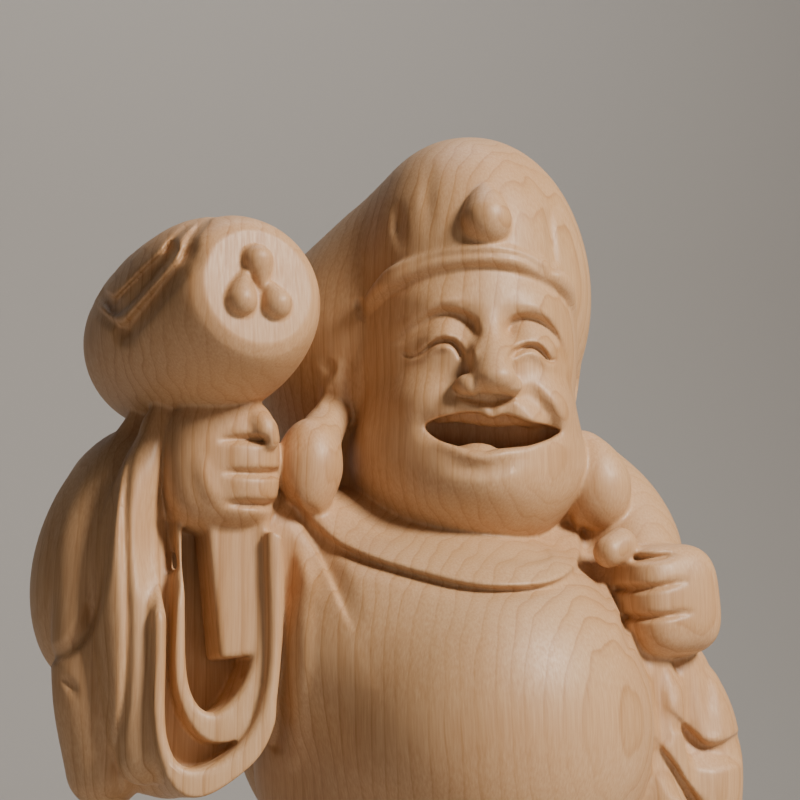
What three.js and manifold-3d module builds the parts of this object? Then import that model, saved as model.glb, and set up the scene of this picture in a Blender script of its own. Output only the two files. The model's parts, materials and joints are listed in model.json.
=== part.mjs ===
/**
 * A carved wooden figure of a laughing god of wealth, on a low base.
 * One block of softwood holds all of it: the cap, the head, the robe, the raised mallet,
 * the sack over the left shoulder and the base.
 *
 * Millimetres, +Z up. The figure faces -Y and its own left hand is at +X.
 * The origin is the middle of the base's underside.
 */
import * as THREE from 'three';
import { mergeVertices } from 'three/addons/utils/BufferGeometryUtils.js';
import Module from 'manifold-3d';

const wasm = await Module();
wasm.setup();

// Driving dimensions
const FIGURE_HEIGHT = 208; // from the base's top to the top of the cap
const BASE_HEIGHT = 14;
const BASE_WIDTH = 122; // along X
const BASE_DEPTH = 92; // along Y
const BASE_CHAMFER = 3; // round the base's upper edge
const FOOTING = 2; // how far the feet and the hem reach down into the base

// The figure's proportions: places and radii below are in hundredths of its height
const HUNDREDTH = FIGURE_HEIGHT / 100;
const HEAD_CENTRE = [0.4, -1.5, 71.5];
const HEAD_TURN = -10; // degrees, towards the raised right hand
const MALLET_CENTRE = [-27.2, -3.9, 78.6];
const MALLET_TURN = 9; // degrees, the front face turned towards the head
const MALLET_LIFT = 5; // degrees, the front face raised
const MALLET_HALF_LENGTH = 12.2;
const MALLET_FRONT_RADIUS = 5.4;
const MALLET_BACK_RADIUS = 7;
const MALLET_BELLY_RADIUS = 9.2;

const WOOD = new THREE.MeshStandardMaterial({ color: 0xc9a57c, roughness: 0.55, metalness: 0 });

// Frames: each turns hundredths into millimetres at its own place
const figureFrame = new THREE.Matrix4()
  .makeTranslation(0, 0, BASE_HEIGHT)
  .scale(new THREE.Vector3(HUNDREDTH, HUNDREDTH, HUNDREDTH));

/** A frame inside the figure's, moved to a centre, turned about the vertical and tipped back. */
function turnedFrame(centre, turn, lift = 0) {
  return figureFrame
    .clone()
    .multiply(new THREE.Matrix4().makeTranslation(...centre))
    .multiply(new THREE.Matrix4().makeRotationZ(THREE.MathUtils.degToRad(turn)))
    .multiply(new THREE.Matrix4().makeRotationX(THREE.MathUtils.degToRad(-lift)));
}

const headFrame = turnedFrame(HEAD_CENTRE, HEAD_TURN);
const malletFrame = turnedFrame(MALLET_CENTRE, MALLET_TURN, MALLET_LIFT);

/** A closed geometry as a solid that can be joined and cut, set into a frame. */
function solid(geometry, frame) {
  geometry.deleteAttribute('normal');
  geometry.deleteAttribute('uv');
  const merged = mergeVertices(geometry.applyMatrix4(frame), 1e-3);
  return new wasm.Manifold(
    new wasm.Mesh({
      numProp: 3,
      vertProperties: new Float32Array(merged.attributes.position.array),
      triVerts: new Uint32Array(merged.index.array),
    }),
  );
}

/** An ellipsoid. turn is in degrees about X, Y and Z; detail is [round, down]. */
function ball(centre, radii, { turn = [0, 0, 0], detail = [12, 7], frame = figureFrame } = {}) {
  const geometry = new THREE.SphereGeometry(1, detail[0], detail[1]).rotateX(Math.PI / 2).scale(...radii);
  const angles = turn.map(THREE.MathUtils.degToRad);
  geometry.applyMatrix4(new THREE.Matrix4().makeRotationFromEuler(new THREE.Euler(...angles, 'XYZ')));
  return solid(geometry.translate(...centre), frame);
}

/**
 * A round-ended limb through some points, with a radius at each.
 * It is flat times as thick along thin as it is wide across.
 */
function limb(points, radii, options = {}) {
  const { around = 8, steps = 5, flat = 1, thin = [0, -1, 0], frame = figureFrame } = options;
  const path = new THREE.CatmullRomCurve3(points.map((p) => new THREE.Vector3(...p)));
  const rings = [];
  const capAngles = [0, 0.55].map((share) => (share * Math.PI) / 2);
  const radiusAt = (t) => {
    const place = t * (radii.length - 1);
    const before = Math.min(Math.floor(place), radii.length - 2);
    return THREE.MathUtils.lerp(radii[before], radii[before + 1], place - before);
  };
  const addRing = (t, angle, sign) => {
    const tangent = path.getTangent(t);
    const radius = radiusAt(t);
    rings.push({
      centre: path.getPoint(t).addScaledVector(tangent, sign * radius * Math.cos(angle)),
      tangent,
      radius: radius * Math.sin(angle),
    });
  };
  capAngles.forEach((angle) => addRing(0, angle, -1));
  for (let i = 0; i <= steps; i++) addRing(i / steps, Math.PI / 2, 0);
  capAngles.reverse().forEach((angle) => addRing(1, angle, 1));

  const profile = rings.map((ring, i) => new THREE.Vector2(ring.radius > 1e-9 ? 1 : 0, i));
  const geometry = new THREE.LatheGeometry(profile, around);
  const position = geometry.attributes.position;
  for (let i = 0; i < position.count; i++) {
    const ring = rings[Math.round(position.getY(i))];
    const across = new THREE.Vector3(...thin).cross(ring.tangent).normalize();
    const through = ring.tangent.clone().cross(across).normalize();
    const spot = ring.centre
      .clone()
      .addScaledVector(across, position.getX(i) * ring.radius)
      .addScaledVector(through, -position.getZ(i) * ring.radius * flat);
    position.setXYZ(i, spot.x, spot.y, spot.z);
  }
  return solid(geometry, frame);
}

/** A box, turned in degrees about X, Y and Z. */
function block(centre, size, turn = [0, 0, 0], frame = figureFrame) {
  const angles = turn.map(THREE.MathUtils.degToRad);
  const geometry = new THREE.BoxGeometry(...size);
  geometry.applyMatrix4(new THREE.Matrix4().makeRotationFromEuler(new THREE.Euler(...angles, 'XYZ')));
  return solid(geometry.translate(...centre), frame);
}

const join = (solids) => solids.reduce((all, next) => all.add(next));
const mirrored = (make) => [make(-1), make(1)];

/** A soft hump of height 1 at 0, about three widths across in all. */
const hump = (offset, width) => Math.exp(-0.5 * (offset / width) ** 2);

/** How far the broad features stand out from the egg of the head, across x and up z from its centre. */
function faceRelief(x, z) {
  const side = Math.abs(x);
  const cheek = 1.3 * hump(side - 5.8, 2.8) * hump(z + 0.2, 2.4);
  const chin = 0.7 * hump(x, 5) * hump(z + 7.8, 2.2);
  const socket = -0.9 * hump(side - 2.6, 1.8) * hump(z - 6.8, 1.6);
  const brow = 0.4 * hump(side - 5.2, 3) * hump(z - 9.8, 1.4);
  return cheek + chin + socket + brow;
}

/** The head: an egg of three blended ellipsoids with the features raised on it. */
function headGeometry() {
  const heart = new THREE.Vector3(0, -1, -2);
  const eggs = [
    { centre: [0, 0.4, 6], radii: [11.2, 12, 16] },
    { centre: [0, -0.8, -4.3], radii: [11.7, 11.2, 9.2] },
    { centre: [0, -4.2, -6.4], radii: [8.6, 8, 6.8] },
  ];
  const blend = 0.7;
  const reach = (direction) => {
    const exits = eggs.map(({ centre, radii }) => {
      const scale = new THREE.Vector3(...radii);
      const from = heart.clone().sub(new THREE.Vector3(...centre)).divide(scale);
      const ray = direction.clone().divide(scale);
      const [a, b, c] = [ray.dot(ray), from.dot(ray), from.dot(from) - 1];
      return (-b + Math.sqrt(b * b - a * c)) / a;
    });
    return blend * Math.log(exits.reduce((sum, exit) => sum + Math.exp(exit / blend), 0));
  };

  // The poles face front and back, and the rings crowd together round the nose
  const geometry = new THREE.SphereGeometry(1, 20, 14).rotateX(Math.PI / 2);
  const position = geometry.attributes.position;
  for (let i = 0; i < position.count; i++) {
    const unit = new THREE.Vector3().fromBufferAttribute(position, i).normalize();
    const angle = Math.acos(THREE.MathUtils.clamp(-unit.y, -1, 1));
    const drawn = angle * (0.75 + (0.25 * angle) / Math.PI);
    const rim = Math.hypot(unit.x, unit.z) || 1;
    const direction = new THREE.Vector3(
      (unit.x / rim) * Math.sin(drawn),
      -Math.cos(drawn),
      (unit.z / rim) * Math.sin(drawn),
    );
    const spot = direction.clone().multiplyScalar(reach(direction)).add(heart);
    const front = THREE.MathUtils.smoothstep(-spot.y, 1, 7);
    spot.y -= front * faceRelief(spot.x, spot.z);
    position.setXYZ(i, spot.x, spot.y, spot.z);
  }
  return geometry;
}

/** The laughing mouth as a prism through the face: nearly level above and deeply bowed below. */
function mouthPrism(depth) {
  const shape = new THREE.Shape();
  shape.moveTo(-6.8, -2.3);
  shape.quadraticCurveTo(-3.4, -3.1, 0, -2.9);
  shape.quadraticCurveTo(3.4, -3.1, 6.8, -2.3);
  shape.bezierCurveTo(5, -4.9, 2.6, -5.7, 0, -5.7);
  shape.bezierCurveTo(-2.6, -5.7, -5, -4.9, -6.8, -2.3);
  const geometry = new THREE.ExtrudeGeometry(shape, { depth: 12, bevelEnabled: false, curveSegments: 4 });
  return solid(geometry.rotateX(Math.PI / 2).translate(0, -depth, 0), headFrame);
}

/** The head with its features: nose, lids, lips, the laughing mouth and the narrowed eyes. */
function head() {
  const frame = headFrame;
  const egg = headGeometry();
  const target = new THREE.Mesh(egg, new THREE.MeshBasicMaterial({ side: THREE.DoubleSide }));
  const onFace = ([x, z], out) => {
    const caster = new THREE.Raycaster(new THREE.Vector3(x, -40, z), new THREE.Vector3(0, 1, 0));
    return [x, caster.intersectObject(target)[0].point.y - out, z];
  };
  const along = (places, radii, out, options) =>
    limb(places.map((place) => onFace(place, out)), radii, { frame, around: 5, ...options });

  const lid = (s) => [[s * 1.9, 4.6], [s * 3, 6.2], [s * 4.9, 6.7], [s * 6.8, 5.6], [s * 7.8, 4.2]];
  const upperLip = [[-6, -2], [-2.6, -2.2], [0, -2.4], [2.6, -2.2], [6, -2]];
  const lowerLip = [[-4.8, -5], [0, -6.2], [4.8, -5]];
  const features = [
    along([[0, 7.4], [0, 4.2], [0, 1.6]], [0.6, 1.2, 1.8], 0.5, { steps: 3 }),
    ball([0, -13.4, 1.6], [1.9, 2, 1.4], { frame, detail: [8, 5] }),
    ...mirrored((s) => ball([s * 2, -12.3, 1.1], [1.15, 1.6, 1.05], { frame, detail: [7, 5] })),
    ...mirrored((s) => along(lid(s), [0.4, 1, 1.1, 0.8, 0.3], 0, { flat: 0.8, steps: 4 })),
    along(upperLip, [0.3, 0.75, 0.6, 0.75, 0.3], 0, { steps: 4 }),
    along(lowerLip, [0.3, 0.65, 0.3], 0, { steps: 2 }),
  ];
  const slit = (s) => [[s * 2.4, 4], [s * 3.4, 5.1], [s * 4.6, 5.4], [s * 5.8, 4.8], [s * 7.4, 4]];
  const slits = mirrored((s) => along(slit(s), [0.25, 0.45, 0.25], 0.1, { around: 4, steps: 4 }));
  return join([solid(egg, frame), ...features]).subtract(mouthPrism(10.4)).subtract(join(slits));
}

/** An ear about a centre, with its long lobe hanging from the ear's foot before the shoulder. */
function ear([x, y, z], foot, lobe) {
  const frame = headFrame;
  const s = Math.sign(x);
  const rim = ball([x, y, z], [1.8, 2.7, 4.1], { frame, turn: [0, s * 12, 0], detail: [8, 6] });
  const shell = ball([x + s * 1.2, y - 2, z + 0.2], [1, 1.4, 2], { frame, detail: [6, 4] });
  const neck = limb([foot, lobe], [1.8, 2.8], { frame, around: 7, steps: 2 });
  return rim.subtract(shell).add(neck).add(ball(lobe, [3.1, 3, 4.4], { frame, detail: [10, 7] }));
}

/** The soft cap: a tall front with a rolled brim and a jewel, its left side, and a wide bag behind. */
function cap() {
  const frame = headFrame;
  const brimSlope = -21; // degrees, down towards the back
  const front = ball([-0.2, 1.1, 13.5], [10.7, 12.3, 15], { frame, detail: [20, 12] });
  const below = block([0, -4, -14.6], [40, 40, 50], [brimSlope, 0, 0], frame);
  const side = ball([2.5, 4, 13], [11, 9.4, 15.4], { frame, detail: [16, 8] });
  const bag = limb([[0, 2.6, 18.6], [-2.6, 7.6, 13], [-4, 10.6, 7]], [9.9, 13, 15.8], {
    frame,
    steps: 3,
    around: 14,
  });
  const nape = ball([0, 4.6, -6.8], [13.8, 9, 9.2], { frame, detail: [12, 7] });
  const brimLine = [
    [-10.2, -1.4, 9.2],
    [-9.6, -4.8, 11],
    [-7.4, -7.8, 12.7],
    [0, -10.6, 14.1],
    [7.2, -7.8, 12.7],
    [9.2, -4.8, 11],
    [9.8, -1.4, 9.2],
  ];
  const brim = limb(brimLine, [0.8, 1.15, 1.2, 1.15, 0.8], { frame, steps: 8, around: 6 });
  const jewel = limb([[0, -10, 21.6], [0, -11.2, 18]], [0.9, 2.6], { frame, steps: 2, around: 8 });
  return join([front.subtract(below), side, bag, nape, brim, jewel]);
}

/** The barrel of the mallet in its own frame, its radius made larger by an allowance. */
function barrel(allowance, courses, around) {
  const profile = [new THREE.Vector2(0, -MALLET_HALF_LENGTH)];
  for (let i = 0; i <= courses; i++) {
    const along = (2 * i) / courses - 1;
    const end = along < 0 ? MALLET_FRONT_RADIUS : MALLET_BACK_RADIUS;
    const radius = THREE.MathUtils.lerp(end, MALLET_BELLY_RADIUS, (1 - along * along) ** 0.6);
    profile.push(new THREE.Vector2(radius + allowance, along * MALLET_HALF_LENGTH));
  }
  profile.push(new THREE.Vector2(0, MALLET_HALF_LENGTH));
  return solid(new THREE.LatheGeometry(profile, around), malletFrame);
}

/** The mallet: the barrel with its stepped plate, three jewels on the front, and the handle. */
function mallet() {
  const plateTurn = new THREE.Matrix4().makeRotationY(THREE.MathUtils.degToRad(-50));
  const plateFrame = malletFrame.clone().multiply(plateTurn);
  const plate = (allowance, margin) =>
    barrel(allowance, 5, 14).intersect(
      block([0, -3.7, 10], [13.2 - 2 * margin, 12.6 - 2 * margin, 18], [0, 0, 0], plateFrame),
    );
  const jewels = [90, 210, 330].map((degrees) => {
    const angle = THREE.MathUtils.degToRad(degrees);
    const out = 0.38 * MALLET_FRONT_RADIUS;
    const centre = [out * Math.cos(angle), -MALLET_HALF_LENGTH, out * Math.sin(angle)];
    return ball(centre, [1.6, 1.2, 1.6], { frame: malletFrame, detail: [8, 5] });
  });
  const handle = block([-24.7, -4.4, 62.9], [6, 5.4, 31.6], [0, -6.5, 0]);
  return join([barrel(0, 8, 18), plate(0.35, 0), plate(0.7, 1), ...jewels, handle]);
}

/** The four fingers of a fist, one above another, each bent through the same places from a height down. */
function fingers(top, pitch, places, radii) {
  return [0, 1, 2, 3].map((i) =>
    limb(places.map(([x, y]) => [x, y, top - i * pitch]), radii, { steps: 3, around: 6 }),
  );
}

/** The raised right fist round the handle. */
function rightFist() {
  const bent = [[-27.6, -6.6], [-25.6, -8.7], [-22.6, -8.7], [-21.2, -6.4]];
  const thumbLine = [[-24.4, -5, 71.6], [-22.9, -8, 69.8], [-21.9, -8.9, 67.6]];
  const thumb = limb(thumbLine, [1.5, 1.5, 1.3], { around: 6, steps: 3 });
  const palm = ball([-26, -4, 65], [5, 5.2, 6.8], { detail: [10, 6] });
  return join([palm, thumb, ...fingers(67.8, 2.6, bent, [1.5, 1.5, 1.45, 1.3])]);
}

/** The left fist at the chest, round the neck of the sack. */
function leftFist() {
  const bent = [[20, -11.2], [17.8, -12.9], [15, -13.2], [13.2, -11.8]];
  const thumbLine = [[17, -11.4, 57.6], [15, -12.4, 57.8], [13.4, -12.6, 58]];
  const thumb = limb(thumbLine, [1.4, 1.6, 1.5], { around: 6, steps: 3 });
  const palm = ball([18.6, -8.2, 53.2], [5.3, 5.4, 5.8], { detail: [10, 6] });
  return join([palm, thumb, ...fingers(56.6, 2.5, bent, [1.5, 1.5, 1.45, 1.3])]);
}

/** A U-shaped prism that opens upwards: half the mouth of the raised sleeve, from a depth to a front. */
function sleevePrism([left, right, bottom], depth, front) {
  const [top, waist] = [57, 46];
  const shape = new THREE.Shape();
  const middle = left + 0.44 * (right - left);
  shape.moveTo(left, top);
  shape.lineTo(left, waist);
  shape.bezierCurveTo(left, bottom + 3, left + 0.2 * (middle - left), bottom, middle, bottom);
  shape.bezierCurveTo(right - 0.5 * (right - middle), bottom, right, bottom + 5, right, waist + 2);
  shape.lineTo(right, top);
  const reach = { depth: front - depth, bevelEnabled: false, curveSegments: 4 };
  const geometry = new THREE.ExtrudeGeometry(shape, reach);
  return solid(geometry.rotateX(Math.PI / 2).translate(0, -depth, 0), figureFrame);
}

/** The raised right arm and its wide double sleeve, with the folds beside the sleeve's mouth. */
function rightSleeve() {
  const outerFold = [[-31.4, 1, 70], [-36.6, 0.6, 60], [-37.4, 0, 52], [-36.4, 0, 44], [-34.6, 0.8, 37]];
  const innerFold = [[-30.2, -3.6, 70.6], [-33.4, -4, 62], [-34, -4.2, 54], [-33.2, -4, 46], [-32, -4, 38]];
  const folds = [
    limb(outerFold, [1.6, 2.4, 2.6, 3.4, 3.6], { around: 7 }),
    limb(innerFold, [1.5, 2.7, 3, 3.2, 3], { around: 7 }),
    limb([[-29.6, 3, 62], [-29.6, 2, 50], [-28.6, 1, 43]], [8, 9, 8.6], { around: 9, steps: 3 }),
  ];
  const upperArm = ball([-33.4, 4.6, 57], [7.4, 8.4, 12.6], { turn: [0, 14, 0], detail: [12, 8] });
  const lining = sleevePrism([-30.4, -21.4, 38.6], 0, 7.6).subtract(sleevePrism([-29.2, -22.6, 42], 2, 12));
  return join([upperArm, ...folds, sleevePrism([-32.3, -19.8, 34.4], -2.6, 8.6)])
    .subtract(sleevePrism([-30.8, -21, 37.2], 3.4, 12))
    .add(lining);
}

/** The left arm, its hanging sleeve and the notched hem below the fist. */
function leftSleeve() {
  const arm = [[17, 5, 57], [21.6, 6, 46], [21.6, 4, 36], [19, 3, 26]];
  const frontFall = [[19.6, -5.4, 49], [22.4, -4.8, 41.5], [22.2, -4.4, 34], [20.8, -3, 28]];
  const cloth = join([
    limb(arm, [7.6, 7.6, 7.6, 6], { around: 9, steps: 4 }),
    limb(frontFall, [3.2, 4.9, 5.6, 5], { around: 9, steps: 4 }),
    limb([[16, -8.4, 49.6], [16.8, -8.6, 42], [17.4, -8, 33]], [2.2, 3, 3.6], { around: 7, steps: 3 }),
  ]);
  const upperNotch = [[19.6, -10.4, 42], [21.2, -10.4, 39.4], [26, -8.8, 40.4]];
  const lowerNotch = [[17.6, -11.4, 39.4], [18.8, -11, 36.4], [20.4, -10.4, 33.6]];
  const notches = join([
    limb(upperNotch, [0.6, 1, 0.7], { around: 5, steps: 3 }),
    limb(lowerNotch, [0.4, 0.9, 0.8], { around: 5, steps: 2 }),
  ]);
  return cloth.subtract(notches);
}

/** The sack on the back, with its neck drawn over the left shoulder to the fist. */
function sack() {
  return join([
    ball([2, 15.5, 43], [20, 12, 18], { detail: [16, 10] }),
    limb(
      [[17.6, -5, 54.5], [17.4, -1.6, 59], [15.6, 2.4, 62.6], [12, 6.6, 65.4], [7, 12, 64], [4, 15, 54]],
      [4, 6, 7, 7.6, 9, 11],
      { around: 9, steps: 6 },
    ),
  ]);
}

/** The robe over the belly, with its collar, down to the hem and the boots. */
function robe() {
  const flare = [[0, -1.5], [20.2, -1.5], [20.4, 1], [19.6, 8], [18.8, 16], [18.2, 24], [14, 30], [0, 33]];
  const hem = new THREE.LatheGeometry(flare.map((place) => new THREE.Vector2(...place)), 18);
  const skirt = solid(hem.rotateX(Math.PI / 2).scale(1, 0.86, 1).translate(0, -0.6, 0), figureFrame);
  const masses = join([
    ball([0, -3, 41], [17.4, 19.2, 17.6], { detail: [20, 12] }),
    ball([-2.6, -1, 47.5], [19.6, 15.4, 13.6], { detail: [18, 9] }),
    ball([0, 3, 36], [20, 15, 24], { detail: [12, 7] }),
    limb([[-26, 4.6, 60.6], [-13, 2, 55.6], [0, 1, 53.6], [13, 3, 55]], [7.4, 8.8, 9.4, 8.6], {
      around: 9,
      steps: 4,
      thin: [0, 0, 1],
    }),
    skirt,
  ]);
  const neck = limb(
    [[-16, -1, 61], [-11.6, -8.6, 57.4], [-1, -13.4, 55.4], [9.6, -9.6, 56.6], [13, -3, 58.6]],
    [2.2, 2.4, 2.7, 2.4, 2.2],
    { around: 7, steps: 7, flat: 1.1, thin: [0, -0.5, 1] },
  );
  const boots = mirrored((s) => ball([s * 8.8, -12.2, 1.2], [5.6, 9.2, 4.6], { turn: [0, 0, s * 10] }));
  return join([masses, neck, ...boots]);
}

/** The low base: a slab with rounded ends and a chamfered upper edge. */
function base() {
  const corner = BASE_DEPTH / 2;
  const straight = BASE_WIDTH / 2 - corner;
  const outline = new THREE.Shape();
  outline.absarc(straight, 0, corner - BASE_CHAMFER, -Math.PI / 2, Math.PI / 2);
  outline.absarc(-straight, 0, corner - BASE_CHAMFER, Math.PI / 2, (3 * Math.PI) / 2);
  const slab = new THREE.ExtrudeGeometry(outline, {
    depth: BASE_HEIGHT - 2 * BASE_CHAMFER,
    bevelThickness: BASE_CHAMFER,
    bevelSize: BASE_CHAMFER,
    bevelSegments: 1,
    curveSegments: 8,
  }).translate(0, 0, BASE_CHAMFER);
  return solid(slab, new THREE.Matrix4());
}

/** What lies under the base's top, apart from the footing, is cut away before the base is joined on. */
function standing(figure) {
  const wide = 3 * FIGURE_HEIGHT;
  const below = new THREE.BoxGeometry(wide, wide, FIGURE_HEIGHT);
  below.translate(0, 0, BASE_HEIGHT - FOOTING - FIGURE_HEIGHT / 2);
  return figure.subtract(solid(below, new THREE.Matrix4()));
}

const clothes = [robe(), sack(), leftSleeve(), rightSleeve(), cap()];
const hands = [mallet(), rightFist(), leftFist()];
const rightEar = ear([-13, 0.6, 3.4], [-12.9, 0.2, 0.4], [-16.3, -6, -6]);
const leftEar = ear([10.7, 2.8, 3.4], [11.2, 1.6, -1.5], [14, 1.4, -6.5]);
const figure = join([...clothes, ...hands, head(), rightEar, leftEar]);
const carving = standing(figure).add(base());

const { vertProperties, triVerts } = carving.getMesh();
const geometry = new THREE.BufferGeometry();
geometry.setAttribute('position', new THREE.BufferAttribute(vertProperties, 3));
geometry.setIndex(new THREE.BufferAttribute(triVerts, 1));
geometry.computeVertexNormals();

const mesh = new THREE.Mesh(geometry, WOOD);
mesh.name = 'daikoku_figure';

const part = new THREE.Group();
part.add(mesh);

export default part;
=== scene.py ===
import json
from math import acos, atan2, cos, hypot, pi, radians, sin

import bmesh
import bpy
import numpy as np
import openvdb
from mathutils import Euler, Matrix, Vector

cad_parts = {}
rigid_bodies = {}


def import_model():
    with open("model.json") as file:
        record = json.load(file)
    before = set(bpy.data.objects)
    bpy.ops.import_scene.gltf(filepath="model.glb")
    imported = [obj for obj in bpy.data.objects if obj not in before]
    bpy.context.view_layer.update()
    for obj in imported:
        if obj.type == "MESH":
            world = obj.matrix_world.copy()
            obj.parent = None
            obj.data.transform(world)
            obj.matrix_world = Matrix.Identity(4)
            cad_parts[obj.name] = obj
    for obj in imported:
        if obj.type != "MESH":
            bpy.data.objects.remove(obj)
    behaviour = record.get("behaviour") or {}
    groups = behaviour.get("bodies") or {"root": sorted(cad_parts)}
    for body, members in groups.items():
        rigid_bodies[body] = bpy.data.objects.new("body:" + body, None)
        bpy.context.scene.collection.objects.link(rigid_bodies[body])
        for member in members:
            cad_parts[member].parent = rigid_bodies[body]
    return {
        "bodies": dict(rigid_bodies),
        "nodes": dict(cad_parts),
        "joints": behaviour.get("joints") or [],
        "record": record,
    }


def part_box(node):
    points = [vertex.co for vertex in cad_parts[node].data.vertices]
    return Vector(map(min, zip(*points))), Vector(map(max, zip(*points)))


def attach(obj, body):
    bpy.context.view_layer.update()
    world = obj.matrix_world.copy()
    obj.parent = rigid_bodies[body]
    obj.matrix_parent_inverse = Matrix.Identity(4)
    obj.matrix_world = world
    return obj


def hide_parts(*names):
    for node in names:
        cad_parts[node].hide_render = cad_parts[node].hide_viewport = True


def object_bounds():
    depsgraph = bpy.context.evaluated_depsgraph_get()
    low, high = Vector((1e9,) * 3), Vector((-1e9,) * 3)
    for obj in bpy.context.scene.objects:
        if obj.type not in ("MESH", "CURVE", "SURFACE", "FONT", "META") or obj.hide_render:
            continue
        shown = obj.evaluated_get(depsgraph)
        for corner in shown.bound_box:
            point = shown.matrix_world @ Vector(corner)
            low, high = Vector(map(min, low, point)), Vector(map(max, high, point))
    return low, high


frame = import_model()
cad_low, cad_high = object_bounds()

# The camera, as a person stands who looks up a little at the figure from its right hand's side.
# Places on the figure are in hundredths of its height, from the top of the base.
BASE_HEIGHT = 0.014
figure_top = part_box("daikoku_figure")[1].z
HUNDREDTH = (figure_top - BASE_HEIGHT) / 100
FIGURE = Matrix.Translation((0, 0, BASE_HEIGHT)) @ Matrix.Scale(HUNDREDTH, 4)

CAMERA_AZIMUTH = radians(-20)
CAMERA_ELEVATION = radians(-10)
CAMERA_DISTANCE = 220
CAMERA_TARGET = Vector((-5.26, 1.92, 73.5))
PICTURE = 800
PIXELS_PER_RADIAN = 2200
SENSOR = 36
NEAREST = 0.01

towards_camera = Vector((
    sin(CAMERA_AZIMUTH) * cos(CAMERA_ELEVATION),
    -cos(CAMERA_AZIMUTH) * cos(CAMERA_ELEVATION),
    sin(CAMERA_ELEVATION),
))
view_turn = towards_camera.to_track_quat("Z", "Y")
view_place = FIGURE @ (CAMERA_TARGET + towards_camera * CAMERA_DISTANCE)
camera = bpy.data.objects.new("camera", bpy.data.cameras.new("camera"))
camera.data.sensor_width = SENSOR
camera.data.lens = PIXELS_PER_RADIAN / PICTURE * camera.data.sensor_width
camera.data.clip_start = NEAREST
camera.location = view_place
camera.rotation_mode = "QUATERNION"
camera.rotation_quaternion = view_turn
bpy.context.scene.collection.objects.link(camera)
bpy.context.scene.camera = camera


# The block of pale softwood that the whole figure is carved from, in one piece, by knife and gouge.
# The carving is kept as the distance of each point of a fine grid from the surface of the wood,
# so that every form grows out of its neighbour with a rounded hollow, as a gouge leaves it.
GRAIN = 0.0004
CLEAR = 0.004
OUTSIDE = 1.0
REACH = 1.4
UPWARDS = (0, 0, 1)
LOWEST = np.floor((np.array(cad_low) - CLEAR) / GRAIN).astype(int)
HIGHEST = np.ceil((np.array(cad_high) + CLEAR) / GRAIN).astype(int)
wood = np.full(HIGHEST - LOWEST + 1, OUTSIDE, np.float32)
grid_step = openvdb.createLinearTransform(voxelSize=GRAIN)


def distances(form, reach):
    """A closed form as distances on the wood's grid, as far as reach on both sides, and its place."""
    bmesh.ops.triangulate(form, faces=form.faces[:])
    form.verts.index_update()
    points = np.array([vertex.co for vertex in form.verts], np.float32)
    triangles = np.array([[corner.index for corner in face.verts] for face in form.faces], np.uint32)
    form.free()
    grid = openvdb.FloatGrid.createLevelSetFromPolygons(
        points, triangles=triangles, transform=grid_step, halfWidth=reach / GRAIN + 1
    )
    low, high = (np.array(corner) for corner in grid.evalActiveVoxelBoundingBox())
    low, high = np.maximum(low, LOWEST), np.minimum(high, HIGHEST)
    field = np.empty(high - low + 1, np.float32)
    grid.copyToArray(field, ijk=tuple(int(i) for i in low))
    return field, tuple(slice(a, b) for a, b in zip(low - LOWEST, high - LOWEST + 1))


def soft_least(one, other, hollow):
    """The lesser of two distances, rounded off where they are within a hollow's width of each other."""
    near = np.maximum(hollow - np.abs(one - other), 0) / hollow
    return np.minimum(one, other) - near * near * hollow / 4


def merged(forms, hollow, reach):
    """Several forms as one, before it meets the wood: a field and its place."""
    fields = [distances(form, max(hollow, reach, REACH * HUNDREDTH)) for form in forms]
    low = np.min([[part.start for part in place] for _, place in fields], axis=0)
    high = np.max([[part.stop for part in place] for _, place in fields], axis=0)
    whole = np.full(high - low, OUTSIDE, np.float32)
    for field, place in fields:
        here = tuple(slice(part.start - a, part.stop - a) for part, a in zip(place, low))
        whole[here] = soft_least(whole[here], field, hollow)
    return whole, tuple(slice(a, b) for a, b in zip(low, high))


def add(forms, hollow=0.6, joined=None):
    """Leaves forms standing on the wood. Widths of hollows are in hundredths."""
    field, place = merged(forms, (joined or hollow) * HUNDREDTH, hollow * HUNDREDTH)
    wood[place] = soft_least(wood[place], field, hollow * HUNDREDTH)


def cut(forms, edge=0.3, joined=None):
    """Cuts forms out of the wood, with the edge rounded over a width in hundredths."""
    field, place = merged(forms, (joined or edge) * HUNDREDTH, edge * HUNDREDTH)
    wood[place] = -soft_least(-wood[place], field, edge * HUNDREDTH)


def frame_at(centre, turn=0, lift=0):
    """The figure's frame moved to a centre, turned about the vertical and lifted at its front."""
    turning = Matrix.Rotation(radians(turn), 4, "Z") @ Euler((radians(-lift), 0, 0)).to_matrix().to_4x4()
    return FIGURE @ Matrix.Translation(centre) @ turning


def placed(form, centre=(0, 0, 0), turn=(0, 0, 0), frame=FIGURE):
    """Puts a form at a centre of a frame, turned by degrees about its axes, with the faces outwards."""
    bmesh.ops.recalc_face_normals(form, faces=form.faces[:])
    angles = Euler([radians(a) for a in turn], "XYZ").to_matrix().to_4x4()
    bmesh.ops.transform(form, matrix=frame @ Matrix.Translation(centre) @ angles, verts=form.verts)
    return form


def ball(centre, radii, turn=(0, 0, 0), frame=FIGURE, power=2):
    """An ellipsoid. A power above 2 makes it fuller, towards a box."""
    form = bmesh.new()
    bmesh.ops.create_uvsphere(form, u_segments=96, v_segments=64, radius=1)
    if power != 2:
        for vertex in form.verts:
            vertex.co /= sum(abs(a) ** power for a in vertex.co) ** (1 / power)
    bmesh.ops.scale(form, vec=radii, verts=form.verts)
    return placed(form, centre, turn, frame)


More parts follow.
